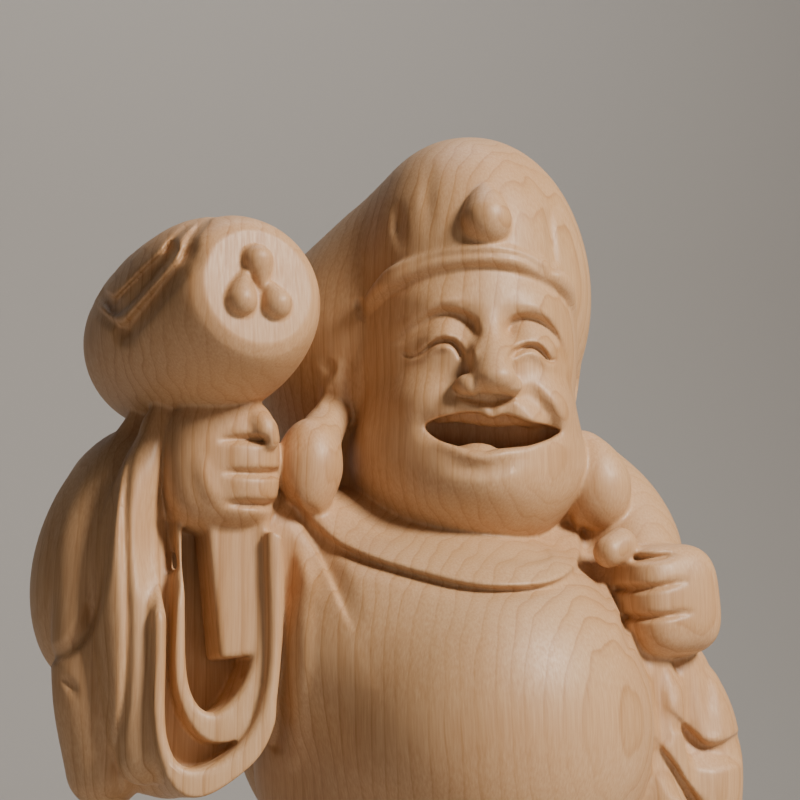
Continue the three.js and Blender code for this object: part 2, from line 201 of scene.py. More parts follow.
def taut(forms):
    """One form drawn tight round several."""
    whole = bmesh.new()
    for form in forms:
        for vertex in form.verts:
            whole.verts.new(vertex.co)
        form.free()
    bmesh.ops.remove_doubles(whole, verts=whole.verts[:], dist=1e-6)
    bmesh.ops.convex_hull(whole, input=whole.verts[:])
    loose = [vertex for vertex in whole.verts if not vertex.link_faces]
    bmesh.ops.delete(whole, geom=loose, context="VERTS")
    bmesh.ops.recalc_face_normals(whole, faces=whole.faces[:])
    return whole


def curve_through(points, steps):
    """Points evenly along a smooth curve through some given ones, the first and the last included."""
    knots = [Vector(point) for point in points]
    knots = [2 * knots[0] - knots[1]] + knots + [2 * knots[-1] - knots[-2]]
    found = []
    for i in range(steps + 1):
        place = i / steps * (len(points) - 1)
        k = min(int(place), len(points) - 2)
        t = place - k
        a, b, c, d = knots[k:k + 4]
        found.append(0.5 * (2 * b + (c - a) * t + (2 * a - 5 * b + 4 * c - d) * t ** 2
                            + (3 * b - a - 3 * c + d) * t ** 3))
    return found


def limb(points, radii, flat=1, thin=(0, -1, 0), frame=FIGURE, steps=0):
    """A round-ended limb along a curve, with a radius at each point, flattened along thin."""
    big = max(radii) > 3
    steps = steps or (10 if big else 8) * (len(points) - 1)
    cap = 10 if big else 6
    around = 56 if big else 32
    path = curve_through(points, steps)
    widths = [point.x for point in curve_through([(radius, 0, 0) for radius in radii], steps)]
    form = bmesh.new()
    rings = 2 * cap + steps
    bmesh.ops.create_uvsphere(form, u_segments=around, v_segments=rings, radius=1)
    for vertex in form.verts:
        ring = round(acos(max(-1, min(1, vertex.co.z))) / pi * rings)
        i = min(max(ring - cap, 0), steps)
        angle = pi / 2 * (1 - max(cap - ring, ring - cap - steps, 0) / cap)
        along = (path[min(i + 1, steps)] - path[max(i - 1, 0)]).normalized()
        across = Vector(thin).cross(along).normalized()
        through = along.cross(across)
        side = Vector((vertex.co.x, vertex.co.y, 0))
        side = side.normalized() * sin(angle) * widths[i] if side.length > 1e-5 else Vector()
        ahead = cos(angle) * widths[i] * (-1 if ring < cap else 1)
        vertex.co = path[i] + across * side.x + through * side.y * flat + along * ahead
    return placed(form, frame=frame)


def block(centre, size, turn, edge):
    """A box with rounded edges."""
    form = bmesh.new()
    bmesh.ops.create_cube(form, size=1)
    bmesh.ops.scale(form, vec=size, verts=form.verts)
    bmesh.ops.bevel(form, geom=form.edges[:], offset=edge, segments=4, profile=0.5, affect="EDGES",
                    material=-1)
    return placed(form, centre, turn)


def turned(profile, frame, squash=(1, 1, 1), around=96, folds=None):
    """A turned form: radii and heights, from the axis to the axis, spun about Z.
    Folds are their number, their depth at the foot and the height where they die out."""
    form = bmesh.new()
    verts = [form.verts.new((radius, 0, height)) for radius, height in profile]
    edges = [form.edges.new(pair) for pair in zip(verts, verts[1:])]
    bmesh.ops.spin(form, geom=verts + edges, cent=(0, 0, 0), axis=(0, 0, 1), angle=2 * pi, steps=around,
                   use_merge=True)
    bmesh.ops.remove_doubles(form, verts=form.verts, dist=1e-4)
    if folds:
        number, deep, top = folds
        for vertex in form.verts:
            fade = max(0, 1 - max(vertex.co.z, 0) / top)
            angle = atan2(vertex.co.y, vertex.co.x)
            wave = cos(number * angle + 2 * sin(2 * angle))
            if vertex.co.xy.length > 1e-4:
                vertex.co.xy += vertex.co.xy.normalized() * deep * fade * wave
    bmesh.ops.scale(form, vec=squash, verts=form.verts)
    return placed(form, frame=frame)


def moved(grown):
    """The vertices of what an extrude operator has grown."""
    return [item for item in grown["geom"] if isinstance(item, bmesh.types.BMVert)]


def slab(outline, low, high):
    """A flat outline across X and Z, as thick as from low to high along Y."""
    form = bmesh.new()
    face = form.faces.new([form.verts.new((x, low, z)) for x, z in outline])
    grown = bmesh.ops.extrude_face_region(form, geom=[face])
    bmesh.ops.translate(form, vec=(0, high - low, 0), verts=moved(grown))
    return placed(form)


def mirrored(points):
    """Two lines of points, on both sides of the middle."""
    return [[(side * x, y, z) for x, y, z in points] for side in (-1, 1)]


def depth_at(points):
    """The wood's distance at some points in metres, between the grid's own: below 0 is inside it."""
    place = np.array(points) / GRAIN - LOWEST
    corner = np.clip(np.floor(place).astype(int), 0, np.array(wood.shape) - 2)
    part = np.clip(place - corner, 0, 1)
    found = 0
    for i in range(8):
        step = np.array((i & 1, i >> 1 & 1, i >> 2))
        share = np.prod(np.where(step, part, 1 - part), axis=1)
        found = found + share * wood[tuple((corner + step).T)]
    return found


FARTHEST = 0.9


def first_wood(start, direction):
    """The place in hundredths where a straight line first meets the wood."""
    steps = np.arange(0, FARTHEST, GRAIN)
    points = np.array(start) + steps[:, None] * np.array(direction.normalized())
    inside = np.all((points > LOWEST * GRAIN) & (points < HIGHEST * GRAIN), axis=1)
    depths = np.full(len(points), OUTSIDE)
    depths[inside] = depth_at(points[inside])
    met = np.flatnonzero(depths < 0)
    if not len(met):
        return None
    last, first = met[0] - 1, met[0]
    share = depths[last] / (depths[last] - depths[first])
    return FIGURE.inverted() @ Vector(points[last] + (points[first] - points[last]) * share)


def sight(x, y, turn=view_turn):
    """The direction in which a pixel of a view looks, with a pixel as its unit."""
    return turn @ Vector((x - PICTURE / 2, PICTURE / 2 - y, -PIXELS_PER_RADIAN))


def seen(x, y, lift=0):
    """The place on the wood that the camera sees at a pixel, lifted off it towards the camera."""
    return first_wood(view_place, sight(x, y)) - sight(x, y).normalized() * lift


EYE = FIGURE.inverted() @ view_place


def on_plane(x, y, depth):
    """Where a pixel's line of sight meets the upright plane at a depth along Y."""
    ray = sight(x, y)
    place = EYE + ray * ((depth - EYE.y) / ray.y)
    return place.x, place.z


def seen_through(outline, middle, before, behind):
    """A prism that fills an outline of pixels, from before a place to behind it."""
    reach = (middle - EYE).dot(-towards_camera)
    form = bmesh.new()
    rays = [sight(x, y) / PIXELS_PER_RADIAN for x, y in outline]
    face = form.faces.new([form.verts.new(EYE + ray * (reach - before)) for ray in rays])
    for vertex in moved(bmesh.ops.extrude_face_region(form, geom=[face])):
        vertex.co = EYE + (vertex.co - EYE) * ((reach + behind) / (reach - before))
    return placed(form)


def smooth_outline(points, steps):
    """A closed outline of pixels rounded through its points."""
    closed = [(x, y, 0) for x, y in points]
    closed = closed[-1:] + closed + closed[:2]
    line = curve_through(closed, steps * (len(closed) - 1))
    return [(p.x, p.y) for p in line[steps:-steps - 1]]


WALL_REACH = 60
WALL_EDGE = 0.12 * HUNDREDTH


def along(values, steps):
    """One value or several, evenly spaced along a line, as a value at the ends of each of its steps."""
    values = values if isinstance(values, (list, tuple)) else [values]
    return np.interp(np.arange(steps + 1) / steps * (len(values) - 1), range(len(values)), values)


def stroke(line, depth, width, other=None, window=2.5, keen=0, wall=None, eye=None, turn=None):
    """Sinks the wood's surface along a line of pixels, or raises it where the depth is below 0.
    The widths are the line's left and right side as it runs, in pixels. A small one makes a step.
    Keen is 0 for a rounded bed, 1 for straight slopes and 2 for a pointed bed with soft shoulders.
    With a wall, the right side is left standing behind a sharp edge and the left side is sunk.
    The wall runs out by that many times its height.
    An eye and a turn are those of another view than the camera's."""
    eye, turn = eye or view_place, turn or view_turn
    count = 4 * (len(line) - 1)
    path = [Vector((p.x, p.y)) for p in curve_through([(x, y, 0) for x, y in line], count)]
    across, up, back = (np.array(turn @ Vector(axis)) for axis in ((1, 0, 0), (0, 1, 0), (0, 0, 1)))
    hits = [first_wood(eye, sight(p.x, p.y, turn)) for p in path]
    known = [i for i, hit in enumerate(hits) if hit is not None]
    spots = np.array([FIGURE @ hits[i] for i in known])
    order = np.arange(count + 1)
    fars = np.interp(order, known, (np.array(eye) - spots) @ back)
    depths = along(depth, count) * HUNDREDTH
    lefts = along(width, count)
    rights = along(width if other is None else other, count)
    window *= HUNDREDTH
    margin = max(lefts.max(), rights.max()) * fars.max() / PIXELS_PER_RADIAN + window
    low = np.maximum(np.floor((spots.min(0) - margin) / GRAIN).astype(int), LOWEST)
    high = np.minimum(np.ceil((spots.max(0) + margin) / GRAIN).astype(int), HIGHEST) + 1
    here = tuple(slice(a, b) for a, b in zip(low - LOWEST, high - LOWEST))
    near = np.abs(wood[here]) < 2 * np.abs(depths).max() + 4 * GRAIN
    offset = (np.argwhere(near) + low) * GRAIN - np.array(eye)
    far = -(offset @ back)
    px = PICTURE / 2 + PIXELS_PER_RADIAN * (offset @ across) / far
    py = PICTURE / 2 - PIXELS_PER_RADIAN * (offset @ up) / far
    best = np.full(len(px), np.inf)
    place = np.zeros(len(px))
    side = np.zeros(len(px))
    for i, (a, b) in enumerate(zip(path, path[1:])):
        dx, dy = b.x - a.x, b.y - a.y
        t = np.clip(((px - a.x) * dx + (py - a.y) * dy) / (dx * dx + dy * dy), 0, 1)
        ox, oy = px - a.x - t * dx, py - a.y - t * dy
        distance = np.hypot(ox, oy)
        closer = distance < best
        best = np.where(closer, distance, best)
        place = np.where(closer, i + t, place)
        side = np.where(closer, dx * oy - dy * ox, side)
    wide = np.where(side < 0, np.interp(place, order, lefts), np.interp(place, order, rights))
    t = np.clip(best / wide, 0, 1)
    fall = (1 - t) ** keen if keen else (1 - t) ** 2 * (1 + 2 * t)
    beyond = np.abs(far - np.interp(place, order, fars)) / window
    within = np.clip(2 - 2 * beyond, 0, 1)
    fall = fall * within
    sinking = np.interp(place, order, depths)
    changed = wood[here]
    if wall is None:
        changed[near] += (sinking * fall).astype(np.float32)
        return
    field = changed[near]
    sunk = field + sinking * (np.where(side < 0, fall, 1) * within)
    outwards = np.where(side < 0, best, -best) * far / PIXELS_PER_RADIAN
    standing = (outwards + wall * field) / hypot(1, wall)
    kept = -soft_least(-field, -standing, WALL_EDGE)
    changed[near] = np.where(best < WALL_REACH, soft_least(sunk, kept, WALL_EDGE), field)


# The robe over the round belly, drawn in under it and hanging straight to the base, over an
# under-robe and two boots. It is the broadest mass of the block and is worked first.
UNDER_ROBE = [(19.4, -1.5), (19.2, 3), (18.6, 10)]
OVER_ROBE = [(20.6, 4.2), (20.2, 8), (19.2, 14), (18.4, 21), (17.6, 28), (15.6, 34)]
UNDER_FOLDS = (19, 0.45, 20)
OVER_FOLDS = (13, 1, 34)
ROBE_SQUASH = (1, 0.86, 1)
ROBE_FRAME = frame_at((0, -0.6, 0))
BELLY = [
    ((0, -3, 41), (17.4, 19.2, 17.6)),
    ((-2.6, -1, 47.5), (19.6, 15.4, 13.6)),
    ((0, 3, 39), (19.4, 14.4, 20)),
]
SHOULDERS = [(-26, 4.6, 60.6), (-13, 2, 55.6), (0, 1, 53.6), (13, 3, 55)]
BOOT = [(7.4, -9, 2), (8.6, -14.6, 1.6), (9.3, -18.2, 1.2)]
SOLE = [(7.4, -9, -0.6), (8.6, -14.6, -0.6), (9.4, -18.4, -0.6)]


def skirt(foot, outline, top, courses, folds):
    """A hanging skirt from its outline, closed below and above."""
    line = [(p.x, p.y) for p in curve_through([(radius, z, 0) for radius, z in outline], courses)]
    return turned(foot + line + [top], ROBE_FRAME, squash=ROBE_SQUASH, around=180, folds=folds)


add([
    *(ball(*form) for form in BELLY),
    limb(SHOULDERS, (7.4, 8.8, 9.4, 8.6), thin=UPWARDS),
], hollow=4, joined=2.2)
add([
    skirt([(0, -1.5)], UNDER_ROBE, (0, 11), 12, UNDER_FOLDS),
    skirt([(0, 3.6), (19.6, 3.6)], OVER_ROBE, (0, 36), 30, OVER_FOLDS),
], hollow=4, joined=0.5)
add([limb(line, (4.4, 4.6, 3.6), flat=0.8, thin=UPWARDS) for line in mirrored(BOOT)], hollow=0.3)
add([limb(line, (4.7, 5, 4.1), flat=0.34, thin=UPWARDS) for line in mirrored(SOLE)], hollow=0.15)

# The low base, of the same block: an oval slab with its upper edge rounded off.
# It stands flat on its underside.
BASE_WIDTH = 0.122
BASE_DEPTH = 0.092
BASE_CHAMFER = 0.003
base = bmesh.new()
bmesh.ops.create_cube(base, size=1)
bmesh.ops.scale(base, vec=(BASE_WIDTH, BASE_DEPTH, BASE_HEIGHT), verts=base.verts)
bmesh.ops.translate(base, vec=(0, 0, BASE_HEIGHT / 2), verts=base.verts)
upright = [edge for edge in base.edges if abs(edge.verts[0].co.z - edge.verts[1].co.z) > BASE_HEIGHT / 2]
bmesh.ops.bevel(base, geom=upright, offset=BASE_DEPTH / 2 * 0.999, segments=24, profile=0.5, affect="EDGES",
                material=-1)
upper = [edge for edge in base.edges if min(vertex.co.z for vertex in edge.verts) > BASE_HEIGHT * 0.99]
bmesh.ops.bevel(base, geom=upper, offset=BASE_CHAMFER, segments=4, profile=0.5, affect="EDGES", material=-1)
add([base], hollow=0.4)

# The sack on the back, with its broad neck drawn over the left shoulder to the fist.
# It is carved full and taut, as cloth that is packed tight.
SACK = ((2, 15.5, 43), (20, 12, 18))
SACK_NECK = [(16.8, -6.6, 55), (17.2, -1.8, 59), (15.6, 2.4, 62.6), (12, 6.6, 65.4), (7, 12, 64),
             (4, 15, 54)]
add([ball(*SACK), limb(SACK_NECK, (4.4, 6, 7, 7.6, 9, 11))], hollow=0.8, joined=3)

# The left arm, its hanging sleeve and the hem that folds back on itself below the fist.
# Each is a long round mass that runs into the next.
LEFT_ARM = [(17, 5, 57), (21.6, 6, 46), (21.6, 4, 36), (19, 3, 26)]
LEFT_SLEEVE = [(19.6, -5.4, 49), (22.4, -4.8, 41.5), (22.2, -4.4, 34), (20.8, -3, 28)]
LEFT_HEM = [(16, -8.4, 49.6), (16.8, -8.6, 42), (17.4, -8, 33), (17.4, -7, 26)]
add([limb(LEFT_ARM, (7.6, 7.6, 7.6, 6))], hollow=1)
add([limb(LEFT_SLEEVE, (3.2, 4.9, 5.6, 5))], hollow=0.8)
add([limb(LEFT_HEM, (2.2, 3, 3.6, 3.4))], hollow=1.2)

# The raised right arm and its wide double sleeve.
# The folds beside the sleeve's mouth are long soft rolls with sharp valleys between them.
SLEEVE_BAG = ((-33.4, 4.6, 57), (7.4, 8.4, 12.6), (0, 14, 0))
RIGHT_ARM = [(-29.6, 3, 62), (-29.6, 2, 50), (-28.6, 1, 43)]
OUTER_ROLL = [(-31.4, 1, 70), (-36.6, 0.6, 60), (-37.4, 0, 52), (-36.4, 0, 44), (-34.6, 0.8, 37)]
INNER_ROLL = [(-30.2, -3.6, 70.6), (-33.4, -4, 62), (-34, -4.2, 54), (-33.2, -4, 46), (-32, -4, 38.5)]
add([ball(*SLEEVE_BAG)], hollow=0.8)
add([limb(RIGHT_ARM, (8, 9, 8.6))], hollow=0.8)
add([limb(OUTER_ROLL, (1.6, 2.4, 2.6, 3.4, 3.6))], hollow=0.5)
add([limb(INNER_ROLL, (1.5, 2.7, 3, 3.2, 3))], hollow=0.5)

# The right sleeve's open mouth: the outer cloth's rim, a groove, the lining's rim, a deep hollow.
# Each is cut or left standing inside an outline of pixels, at a depth along Y.
RIM_OUTSIDE = [(154, 520), (153, 573), (152, 655), (151, 700), (154, 740), (164, 772), (183, 795),
               (207, 796), (236, 779), (262, 754), (277, 719), (286, 668), (291, 604), (289, 560),
               (282, 536), (262, 528)]
RIM_INSIDE = [(170, 520), (169, 573), (168, 655), (167, 715), (171, 745), (182, 764), (203, 767),
              (232, 752), (254, 724), (265, 690), (269, 655), (269, 600), (267, 543), (266, 500)]
LINING_OUTSIDE = [(178, 520), (178, 573), (175, 655), (178, 692), (191, 724), (211, 742), (236, 740),
                  (253, 722), (262, 700), (267, 660), (268, 600), (266, 543), (265, 500)]
LINING_INSIDE = [(188, 520), (187, 578), (188, 665), (196, 699), (211, 712), (226, 706), (240, 690),
                 (250, 668), (256, 640), (258, 600), (258, 543), (258, 500)]
RIM_FRONT, RIM_BACK = -8.6, 2.6
LINING_FRONT, LINING_BACK = -7.4, 0
BEFORE_RIM = -12.6
GROOVE_BED, HOLLOW_BED = -4.6, -1
WRIST_HOLLOW = ((-31.6, -10, 58.5), (3.4, 4.2, 7.5))


def opening(outline, front, low, high):
    """An outline of pixels, seen on the plane at front, as a slab from low to high."""
    line = curve_through([(x, y, 0) for x, y in outline], 4 * len(outline))
    return slab([on_plane(p.x, p.y, front) for p in line], low, high)


add([opening(RIM_OUTSIDE, RIM_FRONT, RIM_FRONT, RIM_BACK)], hollow=0.5)
cut([opening(RIM_INSIDE, RIM_FRONT, BEFORE_RIM, GROOVE_BED)], edge=0.9)
add([opening(LINING_OUTSIDE, LINING_FRONT, LINING_FRONT, LINING_BACK)], hollow=0.3)
cut([opening(LINING_INSIDE, LINING_FRONT, BEFORE_RIM, HOLLOW_BED)], edge=0.9)
cut([ball(*WRIST_HOLLOW)], edge=1.5)

# The mallet: a barrel with a stepped plate on its shoulder, three jewels on its front, and the
# square handle. The plate's two layers end in steps, with a channel between them.
MALLET = frame_at((-27.2, -3.9, 78.6), turn=9, lift=5)
MALLET_HALF_LENGTH = 12.2
MALLET_FRONT_RADIUS = 5.4
MALLET_BACK_RADIUS = 7
MALLET_BELLY_RADIUS = 9.2
BARREL_FULLNESS = 0.6
BARREL_RIM = 0.3
BARREL_COURSES = 40
HANDLE = ((-24.7, -4.4, 62.9), (6, 5.4, 31.6), (0, -6.5, 0), 0.45)
PLATE_EDGES = [
    ([(181, 254), (150, 289), (122, 323)], (0.7, 1.4, 1.4), 28, 0.6),
    ([(165, 247), (138, 272), (114, 297)], (0.6, 1.1, 1.1), 16, 0.5),
    ([(122, 323), (108, 314), (94, 303)], (1.1, 0.8, 0.4), 16, 0.6),
    ([(114, 297), (106, 291), (99, 283)], (0.9, 0.6, 0.3), 10, 0.6),
]
PLATE_CHANNEL = [(174, 250), (146, 281), (119, 309), (109, 303), (99, 293)]
PLATE_CROWNS = [
    ([(222, 211), (207, 218), (194, 227), (184, 241), (181, 253)], (0.1, 0.3, 0.55, 0.6, 0.3), 14, 0.3),
    ([(204, 214), (188, 223), (172, 237), (165, 247)], (0.1, 0.3, 0.5, 0.3), 9, 0.3),
]
MALLET_JEWELS = [[(257, 261), (262, 286)], [(241, 300), (245, 272)], [(276, 303), (268, 283)]]
JEWEL_RADII = (1.5, 1.25, 0.8, 0.3)

profile = [(0, -MALLET_HALF_LENGTH)]
for i in range(BARREL_COURSES + 1):
    place = 2 * i / BARREL_COURSES - 1
    end = MALLET_BACK_RADIUS if place < 0 else MALLET_FRONT_RADIUS
    radius = end + (MALLET_BELLY_RADIUS - end) * (1 - place * place) ** BARREL_FULLNESS
    profile.append((radius, place * MALLET_HALF_LENGTH))
profile.append((0, MALLET_HALF_LENGTH))
barrel = turned(profile, Matrix.Identity(4))
sharp = [edge for edge in barrel.edges if edge.is_manifold and edge.calc_face_angle() > radians(50)]
bmesh.ops.bevel(barrel, geom=sharp, offset=BARREL_RIM, segments=5, profile=0.5, affect="EDGES", material=-1)
add([placed(barrel, frame=MALLET @ Matrix.Rotation(radians(90), 4, "X"))], hollow=0.4)
for line, deep, wide, lean in PLATE_EDGES:
    stroke(line, deep, wide, wall=lean)
stroke(PLATE_CHANNEL, (0.4, 1.1, 1.2, 0.9, 0.3), 8)
for line, deep, wide, lean in PLATE_CROWNS:
    stroke(line, deep, wide, wall=lean)
add([block(*HANDLE)], hollow=0.3)
jewels = [limb([seen(x, y, 0.1) for x, y in line], JEWEL_RADII, steps=24) for line in MALLET_JEWELS]
for jewel in jewels:
    add([jewel], hollow=0.12)

# The head: a full, laughing face on a broad neck.
# Cheeks, chin, brows and eye hollows are broad swells of the face, and the rest is set on it.
HEAD = frame_at((0.4, -1.5, 71.5), turn=-10)
FACE = [
    ((0, 0.4, 6), (11.2, 12, 16)),
    ((0, -0.8, -4.3), (11.7, 11.2, 9.2)),
    ((0, -4.2, -6.4), (8.6, 8, 6.8)),
]
FACE_SWELLS = [(5.8, -0.2, 2.8, 2.4, 1.3), (0, -7.8, 5, 2.2, 0.7), (2.6, 6.8, 1.8, 1.6, -0.8),
               (5.2, 9.8, 3, 1.4, 0.4)]


def face_egg(centre, radii):
    """An egg whose front swells and sinks: each swell has its place, width, height and rise."""
    form = bmesh.new()
    bmesh.ops.create_uvsphere(form, u_segments=160, v_segments=112, radius=1)
    for vertex in form.verts:
        normal = Vector(a / r for a, r in zip(vertex.co, radii)).normalized()
        vertex.co = Vector(a * r for a, r in zip(vertex.co, radii)) + Vector(centre)
        if vertex.co.y < 0:
            x, z = vertex.co.x, vertex.co.z
            swell = 0
            for cx, cz, wide, tall, rise in FACE_SWELLS:
                for side in {cx, -cx}:
                    swell += rise * np.exp(-((x - side) / wide) ** 2 - ((z - cz) / tall) ** 2)
            vertex.co += normal * float(swell)
    return placed(form, frame=HEAD)


add([face_egg(*egg) for egg in FACE], hollow=0.4, joined=2)

# The nose, with the bridge run out between the brows and the wings standing apart from the tip.
# It is left standing on the face before the eyes are cut.
BRIDGE = [(0, -9.9, 8), (0, -11, 4.8), (0, -12.5, 2.3)]
NOSE = [
    ((0.1, -12.9, 1.6), (2.1, 2, 1.4)),
    ((-2.35, -12.1, 0.9), (1.2, 1.5, 1.15)),
    ((2.05, -12.1, 0.9), (1.15, 1.5, 1.1)),
]
add([
    limb(BRIDGE, (1.4, 1.7, 1.9), frame=HEAD),
    *(ball(*form, frame=HEAD) for form in NOSE),
], hollow=0.7, joined=0.55)

# The eyes are shut with laughing: a rolled lid over a bowed slit, the eyeball's swell under it,
# and a deep groove under each brow. The strokes run from the outer corner on the figure's right
# and from the inner corner on its left, so that their left side is the upper one.
SLITS = [[(404, 354), (413, 356), (422, 353), (430, 346), (439, 341), (450, 341), (457, 346), (462, 356)],
         [(510, 357), (518, 350), (529, 346), (538, 348), (545, 355), (550, 361), (555, 360)]]
BROW_GROOVES = [[(383, 345), (402, 338), (418, 327), (434, 316), (448, 312), (462, 315), (473, 323),
                 (477, 334)],
                [(508, 328), (513, 321), (523, 318), (534, 319), (545, 325), (556, 338), (566, 358)]]
BROWS = [[(388, 330), (410, 318), (432, 305), (452, 301), (472, 308)],
         [(514, 311), (530, 307), (546, 314), (558, 328)]]
BROW_HAIRS = [[(424, 318), (440, 306), (458, 302)], [(440, 310), (456, 303), (472, 305)],
              [(452, 309), (466, 307), (476, 313)], [(512, 316), (524, 308), (538, 310)],
              [(522, 314), (536, 311), (549, 318)], [(535, 316), (548, 320), (557, 331)]]
NOSE_FLANK = [(479, 336), (474, 352), (469, 366)]
NOSTRILS = [(459, 393), (468, 398), (479, 401), (492, 402), (506, 399), (519, 393)]
stroke(SLITS[0], (0, -0.2, -0.5, -0.8, -0.85, -0.5, 0), (8, 14, 20, 18), (8, 12, 15, 9))
stroke(SLITS[1], (-0.4, -0.7, -0.8, -0.7, -0.4, 0), 20, (13, 16, 15, 10))
stroke(BROW_GROOVES[0], (0, 0.3, 0.55, 0.8, 0.95, 0.9, 0.3), 6, (6, 10, 13, 14, 11))
stroke(BROW_GROOVES[1], (0.8, 1, 0.9, 0.8, 0.6, 0.2), 6, 12)
stroke(SLITS[0], (0.5, 0.9, 1.4, 1.9, 2, 1.8, 0.9), (3, 4, 4, 5, 5, 4), (3, 4, 6, 8, 8, 6), keen=2)
stroke(SLITS[1], (0.9, 1.7, 2, 1.8, 1.3, 0.6), (4, 5, 5, 5, 4, 3), (6, 8, 8, 7, 5, 3), keen=2)
for line in BROWS:
    stroke(line, (0, -0.3, -0.35, -0.3, 0), 9)
for line in BROW_HAIRS:
    stroke(line, (0, 0.18, 0), 4)
stroke(NOSE_FLANK, (0, -0.35, -0.1), 9)
stroke(NOSTRILS, (0.2, 0.6, 0.5, 0.5, 0.6, 0.2), 6, 7)

# The mouth, open in a laugh, with the tongue in it. The upper lip rolls in over the gap.
# The lips' places are found before the gap is cut, while the wood still stands there.
GAP = [(425, 426), (435, 419), (450, 415), (468, 412), (481, 413), (492, 418), (503, 414), (516, 417),
       (530, 422), (545, 425), (560, 430), (554, 436), (544, 441), (528, 446), (512, 448), (500, 449),
       (487, 452), (470, 450), (455, 446), (440, 441), (430, 434)]
INNER_LIP = [(436, 421), (462, 416), (490, 419), (518, 419), (546, 427)]
INNER_LIP_RADII = (0.3, 0.7, 0.8, 0.7, 0.3)
INNER_LIP_DEPTH = 4.2
LOWER_LIP = [(430, 438), (441, 445), (455, 450), (470, 455), (486, 457), (500, 454), (514, 452), (530, 450),
             (550, 441)]
UNDER_LIP = [(440, 464), (462, 469), (482, 471), (500, 469), (520, 463)]
MUZZLE = [(440, 411), (452, 406), (468, 403), (481, 404), (492, 408), (504, 404), (518, 407), (530, 413)]
LIP_DIMPLE = [(492, 404), (493, 414)]
LAUGH_LINES = [[(454, 386), (438, 396), (424, 408), (416, 422)],
               [(521, 388), (533, 398), (544, 411), (552, 425)]]
MOUTH_CORNERS = [[(414, 426), (434, 428)], [(570, 434), (552, 431)]]
GAP_BEFORE, GAP_BEHIND = 6, 7
TONGUE = (477, 453)
TONGUE_DEPTH = 3.3
TONGUE_RADII = (2, 2, 0.9)
stroke(LAUGH_LINES[0], (0, 0.1, 0.2, 0.1), 14, 12)
stroke(LAUGH_LINES[1], (0.2, 0.7, 1, 0.7), 15, 15)
stroke(MUZZLE, (0, -0.2, -0.3, -0.3, -0.2, -0.3, -0.25, 0), 10)
stroke(LIP_DIMPLE, (0.2, 0.25), 6)
stroke(MOUTH_CORNERS[0], (0, 0.7), 20)
stroke(MOUTH_CORNERS[1], (0, 0.5), 18)
mouth_place = seen(490, 440)
tongue_place = seen(*TONGUE, -TONGUE_DEPTH)
inner_lip = limb([seen(x, y, -INNER_LIP_DEPTH) for x, y in INNER_LIP], INNER_LIP_RADII, steps=24)
cut([seen_through(smooth_outline(GAP, 3), mouth_place, GAP_BEFORE, GAP_BEHIND)], edge=0.25)
add([inner_lip], hollow=0.3)
stroke(LOWER_LIP, (0, -0.15, -0.3, -0.35, -0.3, -0.15, 0), 6, 9)
stroke(UNDER_LIP, (0, 0.3, 0.4, 0.3, 0), 12)
add([ball(tongue_place, TONGUE_RADII)], hollow=0.4)

# The ears, with long heavy lobes that hang before the shoulders.
# A lobe is placed by its pixel and its depth along Y, and drawn out from its root on the head.
EARS = [((-13, 0.6, 3.4), (1.8, 2.7, 4.1), (0, -12, 0)), ((10.7, 2.8, 3.4), (1.5, 2.6, 4), (0, 12, 0))]
LOBES = [((309, 466), -4.6, (3.0, 3, 4.5), (-12.9, 0.2, 0.4)),
         ((597, 488), -5.4, (3.4, 2.9, 4.3), (11, 0.4, -2.5))]
EAR_RIM = [(321, 335), (335, 341), (342, 356), (337, 372), (326, 386), (322, 404)]
EAR_FOLD = [(322, 350), (325, 362), (331, 370), (326, 381)]
LEFT_EAR_HOLLOW = ((11.8, 1, 3.8), (1, 1.4, 2))
for ear in EARS:
    add([ball(*ear, frame=HEAD)], hollow=0.4)
for pixel, depth, radii, root in LOBES:
    low_x, low_z = on_plane(*pixel, depth)
    high = FIGURE.inverted() @ HEAD @ Vector(root)
    waist = (0.4 * high.x + 0.6 * low_x, 0.4 * high.y + 0.6 * depth, low_z + 3.4)
    add([
        limb([high, waist, (low_x, depth, low_z)], (1.7, 2.2, 2.8)),
        ball((low_x, depth, low_z), radii),
    ], hollow=0.4, joined=1.2)
stroke(EAR_RIM, (-0.3, -0.5, -0.5, -0.4, -0.2), 8, window=1.5)
stroke(EAR_FOLD, (0.6, 0.9, 0.8, 0.4), 9, window=1.5)
cut([ball(*LEFT_EAR_HOLLOW, frame=HEAD)], edge=0.4)

# The soft cap: a wide bag behind that falls over both sides, and a tall front panel before it,
# cut off along the forehead, with a rolled brim and a jewel.
CAP_BAG = [((0, 2.6, 18.6), 9.3), ((-2.6, 7.6, 13), 12.3), ((-4, 10.6, 7), 15.8)]
CAP_SIDES = [
    ((2.5, 4, 13), (11, 9.4, 15.4)),
    ((1.3, 2.6, 13.4), (10.9, 10.8, 15.2)),
    ((0, 4.6, -6.8), (13.8, 9, 9.2)),
]
CAP_FRONT = ((-0.2, 1.1, 13.5), (10.7, 12.3, 15))
BRIM_TILT = radians(21)
BRIM_PLACE = (0, 4.96, 8.74)
BRIM = [(-10.2, -1.4, 9.2), (-9.6, -4.8, 11), (-7.4, -7.8, 12.7), (0, -10.6, 14.1), (7.2, -7.8, 12.7),
        (9.2, -4.8, 11), (9.8, -1.4, 9.2)]
BRIM_TOP = [(378, 281), (399, 273), (420, 263), (442, 257), (473, 254), (501, 254), (522, 258), (538, 267),
            (552, 279)]
CREASE = [(548, 205), (551, 225), (553, 245), (555, 268)]
PANEL_FLUTES = [([(398, 200), (399, 228), (401, 252)], (0, 0.45, 0), 10),
                ([(432, 160), (428, 200), (430, 245)], (0, 0.25, 0), 12)]
TEMPLE_NICK = [(360, 303), (364, 316)]
CAP_JEWEL = [(484, 190, -1.1), (485, 206, -0.5), (486, 220, 0)]
